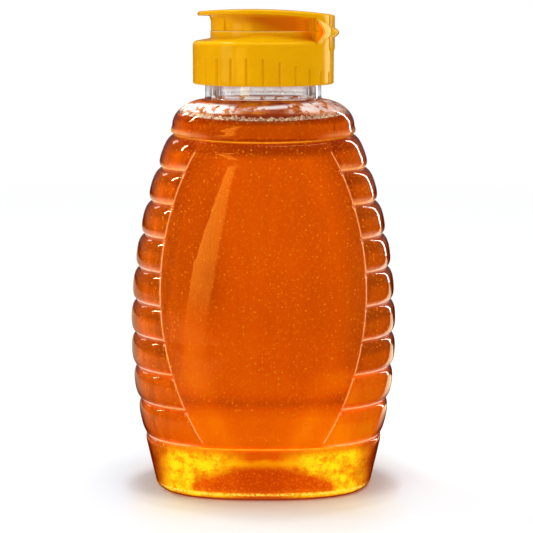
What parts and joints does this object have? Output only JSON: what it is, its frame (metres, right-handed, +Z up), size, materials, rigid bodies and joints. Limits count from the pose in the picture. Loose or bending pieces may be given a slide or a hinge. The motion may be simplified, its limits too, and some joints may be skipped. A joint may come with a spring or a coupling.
{
  "type": "honey squeeze jar",
  "caption": "Oval clear plastic squeeze bottle with ribbed sides and smooth panels, full of honey, under a yellow screw cap with a flip lid.",
  "frame": {"origin": "centre of the standing ring, on the surface that the bottle stands on", "axes": "+Z up along the neck; +X towards the lid's hinge, across the bottle's width; -Y is the front panel"},
  "size_m": [0.0796, 0.053, 0.1435],
  "materials": {
    "clear_plastic": "gloss",
    "honey": "gloss",
    "gasket_foam": "matte",
    "yellow_plastic": "gloss"
  },
  "bodies": {
    "bottle_body": {"bottle": "clear_plastic", "honey": "honey"},
    "gasket_body": {"gasket_ring": "gasket_foam"},
    "cap_body": {"cap": "yellow_plastic", "hinge_band": "yellow_plastic", "hinge_web_front": "yellow_plastic", "hinge_web_rear": "yellow_plastic"},
    "lid_body": {"lid": "yellow_plastic"}
  },
  "joints": [
    {"name": "cap_lift", "type": "slide", "parent": "bottle_body", "child": "gasket_body", "axis": [0, 0, 1], "range_m": [0, 0.00635]},
    {"name": "cap_turn", "type": "hinge", "parent": "gasket_body", "child": "cap_body", "pos_m": [0, 0, 0.12168], "axis": [0, 0, 1], "range_deg": [0, 540]},
    {"name": "lid_flip", "type": "hinge", "parent": "cap_body", "child": "lid_body", "pos_m": [0.0216, 0, 0.13668], "axis": [0, 1, 0], "range_deg": [0, 160], "deforming": ["hinge_band", "hinge_web_front", "hinge_web_rear"]}
  ],
  "couplings": [
    {"joint": "cap_lift", "follows": "cap_turn", "m_per_rad": 0.0006737}
  ]
}
